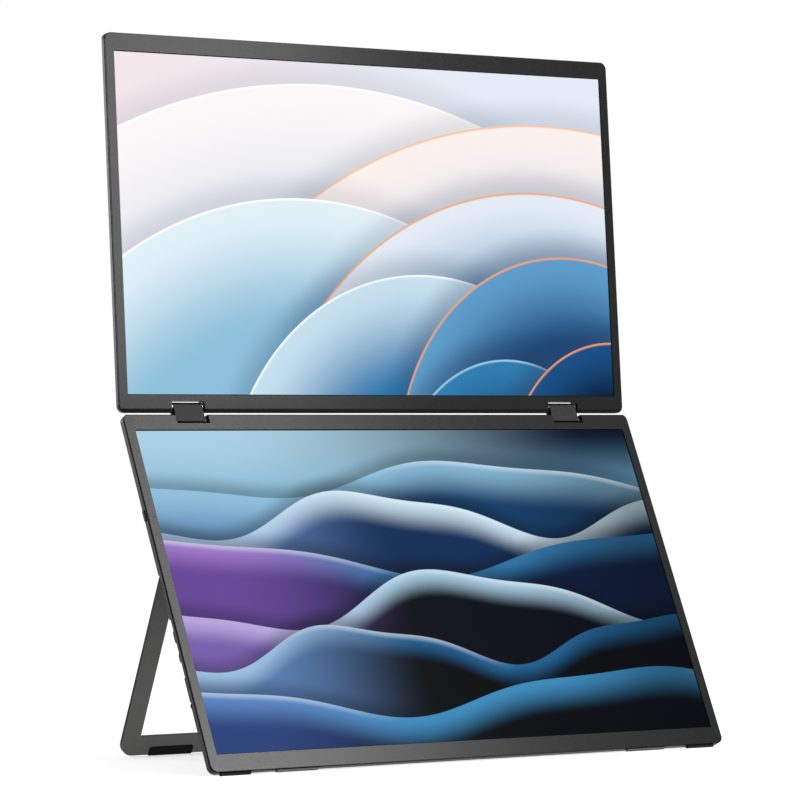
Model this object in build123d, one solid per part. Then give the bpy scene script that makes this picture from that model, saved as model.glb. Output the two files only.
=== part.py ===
from build123d import *
import math
import os

# Two flat displays joined edge to edge by a pair of two-axis hinges, on a fold-out kickstand.
# Millimetres. +X is the viewer's right, +Y runs away from the viewer and +Z is up.
# The origin is on the table, under the middle of the object's outline.
# Each display is drawn flat in its own frame: X across, Y as depth behind its front face
# and Z up from its bottom edge. It is then leaned back and put in its place.

# Screens and the frames round them
screen_width = 409.5
screen_height = 230.4
side_bezel = 7.25
end_bezel = 12.5
corner_radius = 5.0
case_width = screen_width + 2 * side_bezel
case_height = screen_height + 2 * end_bezel
mid_height = case_height / 2

# The stack behind the front face, shared by both displays
bezel_lip = 0.8
bezel_thickness = 1.6
bezel_opening_gap = 0.3
bezel_edge_break = 0.3
parting_groove = 1.0
groove_depth = 0.7
rim_depth = 1.0
rim_wall = 1.0
panel_margin = 1.8
panel_gap = 0.25
glass_thickness = 1.0
sheets_thickness = 0.3
guide_thickness = 1.4
tray_wall = 0.5
led_height = 2.0
led_count = 20
glass_back = bezel_lip + glass_thickness
sheets_back = glass_back + sheets_thickness
guide_back = sheets_back + guide_thickness
tray_back = guide_back + tray_wall
panel_width = screen_width + 2 * panel_margin
panel_height = screen_height + 2 * panel_margin
panel_bottom = mid_height - panel_height / 2

# Rear covers
side_wall = 1.4
back_wall = 1.2
rear_taper = 6.0
hinge_edge_taper = 1.8
taper_wall_step = 0.9
fit_gap = 0.15
inside_gap = 0.3
board_gap = 0.2

# Two-axis hinges
hinge_inset = 54.0
notch_width = 26.0
notch_gap = 0.7
notch_overrun = 2.0
lower_axis_inset = 3.4
upper_axis_inset = 4.1
lower_edge_trim = 0.2
upper_edge_trim = 0.7
link_width = 22.6
knuckle_radius = 3.0
link_groove_radius = 1.5
link_groove_depth = 2.0
pin_radius = 1.0
ear_radius = 1.5
ear_thickness = 1.8
leaf_width = 36.0
leaf_length = 32.0
leaf_thickness = 1.0
leaf_hole_radius = 1.6
washer_radius = 2.6
washer_thickness = 0.8
running_clearance = 0.05
closed_gap = 1.55
hinge_offset = case_width / 2 - hinge_inset

# Stance
lower_lean = 25.7
upper_lean = 4.5

# Front feet under the lower display
foot_width = 22.6
foot_inset = 19.4
foot_depth = 3.2
foot_front = 1.8
foot_height = 1.6
foot_pocket = 0.4
foot_flat = 0.5
foot_offset = case_width / 2 - foot_inset

# Kickstand
kick_side_inset = 30.7
kick_end_inset = 4.9
kick_leg_width = 13.7
kick_bar_height = 14.0
kick_thickness = 3.0
kick_corner = 10.0
kick_inner_corner = 2.0
kick_edge_break = 0.4
kick_recess = 0.1
kick_side_gap = 0.5
kick_floor_gap = 0.3
kick_pocket_rise = 2.0
pivot_height = 193.0
kick_pin_radius = 0.8
kick_pad_width = 35.5
kick_pad_inset = 40.55
kick_pad_corner = 2.2
kick_pad_rise = 6.3
kick_pad_drop = 1.3
kick_pad_web = 1.2
kick_pad_flat = 0.5
finger_notch_width = 26.0
finger_notch_rise = 9.0
bracket_width = 16.0
bracket_height = 16.0
bracket_top = 4.0
bracket_thickness = 1.0
bracket_lug_width = 2.8
bracket_screw_radius = 0.8
bracket_head_radius = 1.7
bracket_head_height = 0.9
bracket_screw_pitch = 8.5
kick_width = case_width - 2 * kick_side_inset
kick_length = pivot_height - kick_end_inset
kick_pad_offset = kick_width / 2 - kick_pad_inset

# Speakers between the kickstand's legs, with a grille under each
speaker_width = 38.0
speaker_height = 13.0
speaker_leg_gap = 4.1
speaker_rim = 4.0
speaker_corner = 3.0
speaker_cone_depth = 0.8
grille_width = 33.0
grille_depth = 2.8
grille_height = 0.9
grille_flange_end = 1.5
grille_flange_side = 0.4
grille_end_margin = 2.0
grille_slots = 9
grille_slot_width = 1.8
grille_slot_depth = 1.0
grille_offset = kick_width / 2 - kick_leg_width - speaker_leg_gap - speaker_width / 2

# Wall-mount inserts in a square
vesa_pitch = 75.0
insert_radius = 3.0
insert_bore = 2.05
insert_length = 5.0
insert_boss = 4.6

# Left edge: sockets and power button, by height above the bottom edge
usb_heights = (119.5, 104.0, 88.0)
hdmi_heights = (134.5, 73.0)
jack_height = 48.5
socket_depth = 5.9
socket_mouth = 5.0
usb_shell = (3.16, 8.94)
usb_opening = (2.56, 8.34)
usb_length = 7.3
hdmi_shell = (3.2, 11.2)
hdmi_opening = (2.5, 10.4)
hdmi_length = 7.5
socket_seat = 1.0
socket_fit = 0.05
usb_tongue = (0.7, 6.6)
hdmi_tongue = (0.6, 7.2)
tongue_setback = 1.0
socket_wall_clearance = 0.25
socket_window_end = 8.0
hdmi_window_corner = 0.8
round_end_margin = 0.01
jack_depth = 6.2
jack_bore = 1.8
jack_ring_radius = 2.15
jack_ring_end = 7.0
jack_mouth = 1.4
jack_bore_length = 14.0
jack_end_wall = 1.2
jack_body_half = 3.0
jack_body_back = 2.2
button_height = 182.5
button_depth = 4.0
button_width = 2.2
button_proud = 0.6
power_button_length = 8.0
menu_rocker_length = 14.0
button_gap = 0.2
rocker_gap = 0.3
button_travel = 0.7
button_window_end = 3.4
button_stem_end = 3.2
button_stem_length = 0.4
button_stem_half = (0.8, 1.2)
button_lug_reach = 1.4
button_lug_thickness = 0.8
button_lug_depths = (1.0, 0.2)
switch_gap = 0.1
switch_length = 6.0
switch_foot_start = 6.0
switch_foot_end = 8.5
rocker_cap_end = 2.1
rocker_pin_radius = 0.5
rocker_pin_inset = 2.4
rocker_hub_radius = 1.0
rocker_cheek_half = 1.2
rocker_cheek_thickness = 0.8
rocker_cheek_reach = 1.0
rocker_rim_room = 1.5
rocker_nub_offset = 4.5
rocker_nub_length = 1.0
rocker_nub_half = (0.6, 0.8)
rocker_pin_x = case_width / 2 - rocker_pin_inset

# Boards, placed from the kickstand's channel, the jack and the buttons
board_thickness = 1.0
port_board_inset = 7.2
port_board_gap = 1.2
port_board_jack_end = 18.0
port_board_bottom = jack_height - 6.5
port_board_top = button_height + 9.5
menu_board_gap = 3.6
menu_board_drop = 12.0
menu_board_rise = 10.0
main_board_width = 88.0
main_board_height = 90.0
main_board_leg_gap = 17.6
main_board_bar_gap = 41.1
board_post_inset = 5.0
board_post_radius = 2.5
chip_thickness = 1.2
panel_board_rise = 12.0
panel_board_length = 120.0
panel_board_width = 10.0
panel_board_thickness = 0.8
panel_chip_size = 8.0
panel_chip_thickness = 0.5
panel_chip_pitch = 20.0
panel_chip_count = 5
cable_thickness = 0.2
board_cable_rise = 38.0
board_cable_width = 14.0
board_cable_clearance = 0.5
board_cable_overlap = (2.0, 3.0)
panel_cable_inset = (13.0, 4.0)
panel_cable_clearance = 0.9
panel_cable_overlap = 3.0
panel_cable_rise = 4.0
panel_cable_width = 5.0
panel_cable_tail = 1.0

# Cover screws, by their distance from the edges and from what they stand beside
screw_side_inset = 16.0
screw_low = 24.0
screw_end_inset = 12.4
screw_hinge_gap = 63.0
screw_button_gap = 27.5
screw_bar_gap = 15.1
upper_low_screw = (60.0, 14.0)


class Display:
    """What sets one display apart from the other."""

    def __init__(
        self, depth, wall_depth, hinge_at_top, axis_inset, edge_trim, relief_height, relief_depth, screws
    ):
        self.depth = depth
        self.wall_depth = wall_depth
        self.axis_depth = depth / 2
        self.inner_back = depth - back_wall
        self.inner_wall_depth = wall_depth - taper_wall_step
        self.hinge_edge = case_height if hinge_at_top else 0.0
        self.inward = -1 if hinge_at_top else 1
        self.axis_inset = axis_inset
        self.axis_height = self.hinge_edge + self.inward * axis_inset
        self.notch_depth = axis_inset + knuckle_radius + notch_gap
        self.edge_trim = edge_trim
        self.relief_height = relief_height
        self.relief_depth = relief_depth
        self.screws = screws

    def from_edge(self, near, far):
        """A height range, given as distances inward from the hinge edge."""
        ends = (self.hinge_edge + self.inward * near, self.hinge_edge + self.inward * far)
        return min(ends), max(ends)


screw_x = case_width / 2 - screw_side_inset
top_screw = (hinge_offset - screw_hinge_gap, case_height - screw_end_inset)
bar_bottom = pivot_height - kick_length
bar_top = bar_bottom + kick_bar_height
above_channel = bar_top + kick_side_gap + side_wall + inside_gap
low_screw_x = (panel_board_length / 2 + grille_offset - speaker_width / 2) / 2
lower = Display(
    depth=10.0,
    wall_depth=5.3,
    hinge_at_top=True,
    axis_inset=lower_axis_inset,
    edge_trim=lower_edge_trim,
    relief_height=1.0,
    relief_depth=1.0,
    screws=(
        (screw_x, screw_low), (screw_x, button_height + screw_button_gap), top_screw,
        (low_screw_x, bar_top + screw_bar_gap),
    ),
)
upper = Display(
    depth=8.0,
    wall_depth=4.4,
    hinge_at_top=False,
    axis_inset=upper_axis_inset,
    edge_trim=upper_edge_trim,
    relief_height=1.7,
    relief_depth=2.2,
    screws=((screw_x, screw_low), (screw_x, case_height - screw_low), top_screw, upper_low_screw),
)
link_length = lower.axis_depth + upper.axis_depth + closed_gap
cover_screw_radius = 1.0
cover_head_radius = 2.0
cover_head_height = 1.2
cover_boss_radius = 3.0


def block(x_range, depth_range, height_range):
    """A box between two values on each axis, in any order."""
    lows = [min(ends) for ends in (x_range, depth_range, height_range)]
    sizes = [abs(ends[1] - ends[0]) for ends in (x_range, depth_range, height_range)]
    return Pos(*lows) * Box(*sizes, align=(Align.MIN, Align.MIN, Align.MIN))


def facing(depth, x=0.0, height=0.0):
    """A plane parallel to the screen, seen from the front."""
    return Plane((x, depth, height), x_dir=(1, 0, 0), z_dir=(0, -1, 0))


def plate(width, height, front, back, x=0.0, centre=None, radius=0.0):
    """A plate parallel to the screen, between two depths."""
    outline = RectangleRounded(width, height, radius) if radius else Rectangle(width, height)
    middle = mid_height if centre is None else centre
    return extrude(facing(front, x, middle) * outline, front - back)


def across(outline, x_start, x_end, depth, height):
    """A profile in depth and height, run from one X to another."""
    start = Plane((x_start, depth, height), x_dir=(0, 1, 0), z_dir=(1, 0, 0))
    return extrude(start * outline, x_end - x_start)


def rod(radius, x_start, x_end, depth, height):
    """A round bar along X."""
    return across(Circle(radius), x_start, x_end, depth, height)


def peg(radius, front, back, x, height):
    """A round bar along the depth."""
    return extrude(facing(front, x, height) * Circle(radius), front - back)


def both_sides(make):
    """One copy on each side, from a function of the side's sign."""
    return [make(-1), make(1)]


def case_body(display, shrink, front, wall_end, back):
    """The case's outer or inner form: a straight wall, then a taper to the back."""
    width = case_width - 2 * shrink
    height = case_height - 2 * shrink
    radius = corner_radius - shrink
    wall = plate(width, height, front, wall_end, radius=radius)
    back_height = height - rear_taper - hinge_edge_taper
    back_centre = mid_height - display.inward * (rear_taper - hinge_edge_taper) / 2
    rim = facing(wall_end, 0, mid_height) * RectangleRounded(width, height, radius)
    rear = facing(back, 0, back_centre) * RectangleRounded(width - 2 * rear_taper, back_height, radius)
    return wall + loft([rim, rear], ruled=True)


def relief(display):
    """What trims the hinge edge and bevels its front corner, so that the edges pass each other."""
    edge = display.hinge_edge + display.inward * display.edge_trim
    outside = display.hinge_edge - display.inward
    rise = display.inward * display.relief_height
    run = display.relief_depth
    behind = display.depth + 1
    wedge = Polygon(
        (-run, edge + 2 * rise), (run, edge), (behind, edge), (behind, outside), (-run, outside), align=None
    )
    return across(wedge, -case_width, case_width, 0, 0)


def hinge_notches(display, margin=0.0, depth_range=None):
    """The two cut-outs that the hinge links sit in, or the walls round them."""
    depths = depth_range or (-1.0, display.depth + 1.0)
    half = notch_width / 2 + margin
    heights = display.from_edge(-notch_overrun, display.notch_depth + margin)
    return both_sides(
        lambda side: block((side * hinge_offset - half, side * hinge_offset + half), depths, heights)
    )


def screw_points(display):
    """Where the cover screws go, mirrored left and right."""
    return [(side * x, height) for x, height in display.screws for side in (-1, 1)]


def front_bezel(display):
    """The moulded front frame, with a lip over the glass and a rim inside the rear cover."""
    groove_front = bezel_thickness - parting_groove
    opening_width = screen_width + 2 * bezel_opening_gap
    opening_height = screen_height + 2 * bezel_opening_gap
    frame = plate(case_width, case_height, 0, groove_front, radius=corner_radius)
    frame -= plate(opening_width, opening_height, -1, bezel_thickness + 1)
    frame = chamfer(frame.faces().sort_by(Axis.Y)[0].edges(), bezel_edge_break)
    frame += plate(
        case_width - 2 * groove_depth, case_height - 2 * groove_depth, groove_front, bezel_thickness,
        radius=corner_radius - groove_depth,
    )
    rim_shrink = side_wall + fit_gap
    rim_width = case_width - 2 * rim_shrink
    rim_height = case_height - 2 * rim_shrink
    rim_back = bezel_thickness + rim_depth
    rim = plate(rim_width, rim_height, bezel_thickness, rim_back, radius=corner_radius - rim_shrink)
    rim -= plate(rim_width - 2 * rim_wall, rim_height - 2 * rim_wall, 0, rim_back + 1)
    rim_margin = (leaf_width - notch_width) / 2 + inside_gap
    for gap in hinge_notches(display, rim_margin):
        rim -= gap
    if display is lower:
        room = (button_height - rocker_cheek_half - fit_gap, button_height + rocker_cheek_half + fit_gap)
        rim -= block((rocker_pin_x - rocker_rim_room, case_width / 2), (bezel_thickness, rim_back + 1), room)
    frame += rim
    frame -= plate(
        panel_width + 2 * panel_gap, panel_height + 2 * panel_gap, bezel_lip, rim_back + 1
    )
    frame -= plate(opening_width, opening_height, -1, rim_back + 1)
    for notch in hinge_notches(display):
        frame -= notch
    return frame - relief(display)


def lcd_glass():
    """The liquid crystal cell with its polarisers."""
    return plate(panel_width, panel_height, bezel_lip, glass_back)


def tray_inner(gap):
    """Width and height inside the tray's walls."""
    return panel_width - 2 * (tray_wall + gap), panel_height - 2 * (tray_wall + gap)


def diffuser_sheets():
    """Diffuser and prism sheets, as one stack."""
    width, height = tray_inner(panel_gap)
    return plate(width, height, glass_back, sheets_back)


def light_guide():
    """The clear plate that spreads the light of the strip below it."""
    width, height = tray_inner(panel_gap)
    guide_height = height - led_height
    return plate(width, guide_height, sheets_back, guide_back, centre=mid_height + led_height / 2)


def led_strip():
    """The strip along the light guide's lower edge, with its lamps."""
    width, _ = tray_inner(panel_gap)
    base = panel_bottom + tray_wall
    strip_height = led_height / 2
    strip = block((-width / 2, width / 2), (sheets_back, guide_back), (base, base + strip_height))
    pitch = width / led_count
    lamp_width = pitch / 4
    for index in range(led_count):
        x = -width / 2 + (index + 0.5) * pitch
        heights = (base + strip_height, base + led_height)
        strip += block((x - lamp_width / 2, x + lamp_width / 2), (sheets_back, guide_back), heights)
    return strip


def panel_tray():
    """The pressed steel tray that holds the backlight."""
    width, height = tray_inner(0)
    tray = plate(panel_width, panel_height, glass_back, tray_back)
    return tray - plate(width, height, glass_back, guide_back)


def panel_board(display):
    """The narrow driver board along the panel's lower edge, on the tray's back."""
    half = panel_board_length / 2
    bottom = above_channel if display is lower else panel_bottom + panel_board_rise
    board_rear = tray_back + panel_board_thickness
    board = block((-half, half), (tray_back, board_rear), (bottom, bottom + panel_board_width))
    middle = bottom + panel_board_width / 2
    chip_half = panel_chip_size / 2
    for index in range(panel_chip_count):
        x = (index - (panel_chip_count - 1) / 2) * panel_chip_pitch
        board += block(
            (x - chip_half, x + chip_half), (board_rear, board_rear + panel_chip_thickness),
            (middle - chip_half, middle + chip_half),
        )
    return board


def cover_shell(display):
    """A rear cover as a hollow moulding, with hinge walls, screw bosses and screw holes."""
    outer = case_body(display, 0, bezel_thickness, display.wall_depth, display.depth)
    cavity = case_body(
        display, side_wall, bezel_thickness, display.inner_wall_depth, display.inner_back
    )
    for wall in hinge_notches(display, side_wall):
        cavity -= wall
    boss_front = tray_back + inside_gap
    for x, height in screw_points(display):
        cavity -= peg(cover_boss_radius, boss_front, display.depth, x, height)
    return outer, cavity


def cover_cuts(display):
    """What every rear cover has cut out of it: hinge notches, pin holes and screw holes."""
    cuts = hinge_notches(display)
    pin_reach = notch_width / 2 + side_wall + 1.0
    for side in (-1, 1):
        middle = side * hinge_offset
        hole = rod(
            pin_radius + running_clearance, middle - pin_reach, middle + pin_reach,
            display.axis_depth, display.axis_height,
        )
        cuts.append(hole)
    boss_front = tray_back + inside_gap
    for x, height in screw_points(display):
        cuts.append(peg(cover_screw_radius + running_clearance, boss_front, display.depth, x, height))
        head_front = display.depth - cover_head_height - running_clearance
        cuts.append(peg(cover_head_radius + running_clearance, head_front, display.depth + 1, x, height))
    cuts.append(relief(display))
    return cuts


def cover_screws(display):
    """Countersunk cover screws with a cross recess left to the finish."""
    screws = []
    for x, height in screw_points(display):
        back = display.depth - 2 * running_clearance
        shank = peg(cover_screw_radius, tray_back + 2 * inside_gap, back, x, height)
        head = peg(cover_head_radius, back - cover_head_height + running_clearance, back, x, height)
        screws.append(shank + head)
    return screws


def hinge_leaf(display, side):
    """A steel leaf with an ear on each side of the notch, lying on the cover or before the channel."""
    middle = side * hinge_offset
    seat = channel_floor - back_wall if display is lower else display.inner_back
    leaf_back = seat - board_gap
    leaf_front = leaf_back - leaf_thickness
    near = display.notch_depth + side_wall + inside_gap
    heights = display.from_edge(near, near + leaf_length)
    leaf = block((middle - leaf_width / 2, middle + leaf_width / 2), (leaf_front, leaf_back), heights)
    for x in (-leaf_width / 4, leaf_width / 4):
        hole_height = (heights[0] + heights[1]) / 2
        leaf -= peg(leaf_hole_radius, leaf_front - 1, leaf_back + 1, middle + x, hole_height)
    ear_inner = notch_width / 2 + side_wall + fit_gap
    ear_end = panel_bottom - inside_gap
    for direction in (-1, 1):
        x_start = middle + direction * ear_inner
        x_end = middle + direction * (ear_inner + ear_thickness)
        low, high = min(x_start, x_end), max(x_start, x_end)
        reach = display.from_edge(display.axis_inset, ear_end)
        ear = rod(ear_radius, low, high, display.axis_depth, display.axis_height)
        ear += block(
            (low, high), (display.axis_depth - ear_radius, display.axis_depth + ear_radius), reach
        )
        step = display.from_edge(near, ear_end)
        ear += block((low, high), (display.axis_depth, leaf_front), step)
        leaf += ear
        leaf -= rod(
            pin_radius + running_clearance, low - 1, high + 1, display.axis_depth, display.axis_height
        )
    return leaf


def hinge_pin(display, side):
    """The friction shaft that a link turns on."""
    half = notch_width / 2 + side_wall + fit_gap + ear_thickness
    middle = side * hinge_offset
    return rod(pin_radius, middle - half, middle + half, display.axis_depth, display.axis_height)


# Hinge links, drawn with the lower axis at the origin and the upper axis straight above it

def link_block(side):
    """The die-cast link between the two pins, with a rounded end on each."""
    middle = side * hinge_offset
    low, high = middle - link_width / 2, middle + link_width / 2
    body = rod(knuckle_radius, low, high, 0, 0)
    body += rod(knuckle_radius, low, high, 0, link_length)
    body += block((low, high), (-knuckle_radius, knuckle_radius), (0, link_length))
    groove = rod(link_groove_radius, low - 1, low + link_groove_depth, 0, link_length / 2)
    groove += rod(link_groove_radius, high - link_groove_depth, high + 1, 0, link_length / 2)
    body -= groove
    for height in (0, link_length):
        body -= rod(pin_radius + running_clearance, low - 1, high + 1, 0, height)
    return body


def link_washers(side):
    """Spring washers that press on each end of both knuckles."""
    washers = []
    for height in (0, link_length):
        for end in (-1, 1):
            x_inner = side * hinge_offset + end * link_width / 2
            x_outer = x_inner + end * washer_thickness
            low, high = min(x_inner, x_outer), max(x_inner, x_outer)
            washer = rod(washer_radius, low, high, 0, height)
            washers.append(washer - rod(pin_radius + running_clearance, low - 1, high + 1, 0, height))
    return washers


# Kickstand, drawn folded flat into the lower display's back

pivot_depth = lower.depth - kick_recess - kick_thickness / 2
channel_floor = pivot_depth - kick_thickness / 2 - kick_floor_gap
kick_half = kick_width / 2
kick_front = pivot_depth - kick_thickness / 2
kick_back = pivot_depth + kick_thickness / 2


def kickstand_channel(margin):
    """The U-shaped recess that the kickstand folds into, or the walls round it."""
    outer = kick_half + kick_side_gap + margin
    inner = kick_half - kick_leg_width - kick_side_gap - margin
    top = pivot_height + kick_thickness / 2 + kick_side_gap + margin
    floor = channel_floor - (back_wall if margin else 0)
    depths = (floor, lower.depth + 1)
    bar_edge = bar_top + kick_side_gap + margin
    tall = 2 * pivot_height
    island_corner = kick_inner_corner + kick_side_gap + margin
    island = plate(
        2 * inner, tall, floor - 1, lower.depth + 2, centre=bar_edge + tall / 2, radius=island_corner
    )
    parts = [block((-outer, outer), depths, (-1, top)) - island]
    for side in (-1, 1):
        pocket_inner = inner - bracket_width - fit_gap
        pocket_bottom = pivot_height - bracket_height + bracket_top - kick_side_gap - margin
        heights = (pocket_bottom, top + kick_pocket_rise)
        parts.append(block((side * pocket_inner, side * inner), depths, heights))
    notch_half = finger_notch_width / 2 + margin
    parts.append(block((-notch_half, notch_half), depths, (0, bar_edge + finger_notch_rise)))
    return parts


def pad_plate(side, front, back):
    """The outline of a rubber shoe, between two depths."""
    height = kick_pad_rise + kick_pad_drop
    centre = bar_bottom + kick_pad_rise - height / 2
    return plate(kick_pad_width, height, front, back, side * kick_pad_offset, centre, kick_pad_corner)


def kickstand_frame():
    """The plate with two legs and a bottom bar, with a knuckle at the top of each leg."""
    tall = 2 * kick_length
    outer = Pos(0, bar_bottom + tall / 2) * RectangleRounded(kick_width, tall, kick_corner)
    window_width = kick_width - 2 * kick_leg_width
    window = Pos(0, bar_top + tall / 2) * RectangleRounded(window_width, tall, kick_inner_corner)
    above = Pos(0, pivot_height + tall / 2) * Rectangle(kick_width + 2, tall)
    frame = extrude(facing(kick_front) * (outer - window - above), kick_front - kick_back)
    outline_edges = frame.faces().sort_by(Axis.Y)[-1].edges().filter_by_position(
        Axis.Z, bar_bottom - 1, pivot_height - 0.1, inclusive=(True, False)
    )
    frame = chamfer(outline_edges, kick_edge_break)
    for side in (-1, 1):
        x_outer = side * kick_half
        x_inner = side * (kick_half - kick_leg_width)
        low, high = min(x_outer, x_inner), max(x_outer, x_inner)
        frame += rod(kick_thickness / 2, low, high, pivot_depth, pivot_height)
        frame -= rod(kick_pin_radius + running_clearance, low - 1, high + 1, pivot_depth, pivot_height)
        rebate = (kick_thickness - kick_pad_web) / 2
        frame -= pad_plate(side, kick_front - 1, kick_front + rebate)
        frame -= pad_plate(side, kick_back - rebate, kick_back + 1)
    return frame


def kickstand_pad(side):
    """A rubber shoe clipped over the bar's lower edge."""
    rebate = (kick_thickness - kick_pad_web) / 2
    half = kick_pad_width / 2 + 1
    middle = side * kick_pad_offset
    web = block(
        (middle - half, middle + half), (kick_front + rebate, kick_back - rebate),
        (bar_bottom, bar_bottom + kick_pad_rise + 1),
    )
    return pad_plate(side, kick_front, kick_back) - web


def kickstand_bracket(side):
    """The steel hinge bracket beside a leg's knuckle, screwed to the recess floor."""
    inner = kick_half - kick_leg_width - kick_side_gap
    x_outer = side * (inner - fit_gap)
    x_inner = side * (inner - bracket_width)
    top = pivot_height + bracket_top
    base_back = channel_floor + bracket_thickness
    bracket = block((x_inner, x_outer), (channel_floor, base_back), (top - bracket_height, top))
    x_lug = side * (inner - fit_gap - bracket_lug_width)
    low, high = min(x_outer, x_lug), max(x_outer, x_lug)
    lug_radius = kick_thickness / 2
    bracket += rod(lug_radius, low, high, pivot_depth, pivot_height)
    bracket += block(
        (low, high), (channel_floor, pivot_depth), (pivot_height - lug_radius, pivot_height + lug_radius)
    )
    bracket -= rod(kick_pin_radius + running_clearance, low - 1, high + 1, pivot_depth, pivot_height)
    for x, height in bracket_screw_points(side):
        bracket -= peg(bracket_screw_radius + running_clearance, channel_floor - 1, base_back + 1, x, height)
    return bracket


def bracket_screw_points(side):
    middle = kick_half - kick_leg_width - kick_side_gap - bracket_lug_width - bracket_width / 2
    heights = (pivot_height - bracket_screw_pitch, pivot_height)
    return [(side * middle, height) for height in heights]


def bracket_screws(side):
    """The two screws of one bracket."""
    screws = []
    base_back = channel_floor + bracket_thickness
    for x, height in bracket_screw_points(side):
        shank = peg(bracket_screw_radius, channel_floor, base_back, x, height)
        head = peg(bracket_head_radius, base_back, base_back + bracket_head_height, x, height)
        screws.append(shank + head)
    return screws


def kickstand_pin(side):
    """The pin from the bracket's lug through the leg into the channel's outer wall."""
    inner = kick_half - kick_leg_width - kick_side_gap - fit_gap - bracket_lug_width
    outer = kick_half + kick_side_gap + side_wall - 0.2
    low, high = sorted((side * inner, side * outer))
    return rod(kick_pin_radius, low, high, pivot_depth, pivot_height)


# The lower display's own pieces

left_face = -case_width / 2
channel_side = kick_half + kick_side_gap + side_wall
port_board_outer = left_face + port_board_inset
port_board_inner = -(channel_side + port_board_gap)
board_back = lower.inner_back - inside_gap
board_front = board_back - board_thickness


def vesa_points():
    half = vesa_pitch / 2
    return [(x, mid_height + z) for x in (-half, half) for z in (-half, half)]


def edge_window(size, x_start, x_end, depth, height, radius=None):
    """A rounded bar or window through a side wall, with full round ends if no radius is given."""
    corner = size[0] / 2 - round_end_margin if radius is None else radius
    return across(RectangleRounded(size[0], size[1], corner), x_start, x_end, depth, height)


def port_windows():
    """Openings in the left wall for the sockets, the jack and the power button."""
    x_start, x_end = left_face - 1, left_face + socket_window_end
    grow = 2 * socket_wall_clearance
    cuts = []
    for height in usb_heights:
        size = (usb_shell[0] + grow, usb_shell[1] + grow)
        cuts.append(edge_window(size, x_start, x_end, socket_depth, height))
    for height in hdmi_heights:
        size = (hdmi_shell[0] + grow, hdmi_shell[1] + grow)
        cuts.append(edge_window(size, x_start, x_end, socket_depth, height, hdmi_window_corner))
    jack_hole = jack_ring_radius + socket_wall_clearance
    cuts.append(rod(jack_hole, x_start, x_end, jack_depth, jack_height))
    size = (button_width + 2 * button_gap, power_button_length + 2 * button_gap)
    cuts.append(edge_window(size, x_start, left_face + button_window_end, button_depth, button_height))
    size = (button_width + 2 * rocker_gap, menu_rocker_length + 2 * rocker_gap)
    cuts.append(edge_window(size, -left_face - button_window_end, -x_start, button_depth, button_height))
    return cuts


def grille_plug(side, gap):
    """The part of a grille that passes through the bottom wall."""
    width = grille_width + 2 * (gap - grille_flange_end)
    depth = grille_depth + 2 * (gap - grille_flange_side)
    middle = foot_front + grille_depth / 2
    x = side * grille_offset
    return block((x - width / 2, x + width / 2), (middle - depth / 2, middle + depth / 2), (-gap, side_wall))


def speaker_grille(side):
    """A slotted sound grille, proud of the bottom edge."""
    x = side * grille_offset
    half = grille_width / 2
    depths = (foot_front, foot_front + grille_depth)
    grille = block((x - half, x + half), depths, (-grille_height, 0)) + grille_plug(side, 0)
    pitch = (grille_width - 2 * grille_end_margin) / grille_slots
    middle = foot_front + grille_depth / 2
    slot_depths = (middle - grille_slot_depth / 2, middle + grille_slot_depth / 2)
    for index in range(grille_slots):
        slot_x = x - (grille_slots - 1) * pitch / 2 + index * pitch
        x_range = (slot_x - grille_slot_width / 2, slot_x + grille_slot_width / 2)
        grille -= block(x_range, slot_depths, (-grille_height - 1, side_wall + 1))
    return grille


def foot(side):
    """A rubber foot in a shallow pocket of the bottom edge."""
    x = side * foot_offset
    half = foot_width / 2
    depths = (foot_front, foot_front + foot_depth)
    return block((x - half, x + half), depths, (-foot_height, foot_pocket))


def foot_seat(side):
    x = side * foot_offset
    half = foot_width / 2 + fit_gap
    depths = (foot_front - fit_gap, foot_front + foot_depth + fit_gap)
    return block((x - half, x + half), depths, (-1, foot_pocket))


def lower_rear_cover():
    """The lower rear moulding, with everything that it carries."""
    outer, cavity = cover_shell(lower)
    for wall in kickstand_channel(side_wall):
        cavity -= wall
    boss_front = tray_back + inside_gap
    for x, height in vesa_points():
        cavity -= peg(insert_boss, boss_front, lower.depth, x, height)
    for x, height in main_board_posts():
        cavity -= peg(board_post_radius, main_board_back, lower.depth, x, height)
    for depths in rocker_cheeks():
        heights = (button_height - rocker_cheek_half, button_height + rocker_cheek_half)
        cavity -= block((rocker_pin_x - rocker_cheek_reach, case_width / 2), depths, heights)
    cover = outer - cavity
    for cut in cover_cuts(lower) + kickstand_channel(0) + port_windows():
        cover -= cut
    for x, height in vesa_points():
        cover -= peg(insert_radius, lower.depth - insert_length, lower.depth + 1, x, height)
    for side in (-1, 1):
        cover -= foot_seat(side)
        cover -= grille_plug(side, fit_gap)
        x_wall = side * (kick_half + kick_side_gap)
        low, high = sorted((x_wall, x_wall + side * side_wall))
        cover -= rod(kick_pin_radius + running_clearance, low - 1, high + 1, pivot_depth, pivot_height)
    near, far = rocker_cheeks()
    cover -= peg(rocker_pin_radius + running_clearance, near[0], far[1], rocker_pin_x, button_height)
    return cover


def rocker_cheeks():
    """Depth ranges of the two walls that hold the menu rocker's pin."""
    half = button_width / 2 + rocker_gap
    near = (button_depth - half - rocker_cheek_thickness, button_depth - half)
    far = (button_depth + half, button_depth + half + rocker_cheek_thickness)
    return near, far


def vesa_insert(x, height):
    """A brass insert for a wall-mount screw."""
    front = lower.depth - insert_length
    insert = peg(insert_radius, front, lower.depth - 0.1, x, height)
    return insert - peg(insert_bore, front - 1, lower.depth + 1, x, height)


socket_front = left_face + socket_mouth


def usb_bar(size, x_start, x_end, height):
    """A bar with the rounded section of a USB-C socket."""
    return edge_window(size, x_start, x_end, socket_depth, height)


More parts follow.
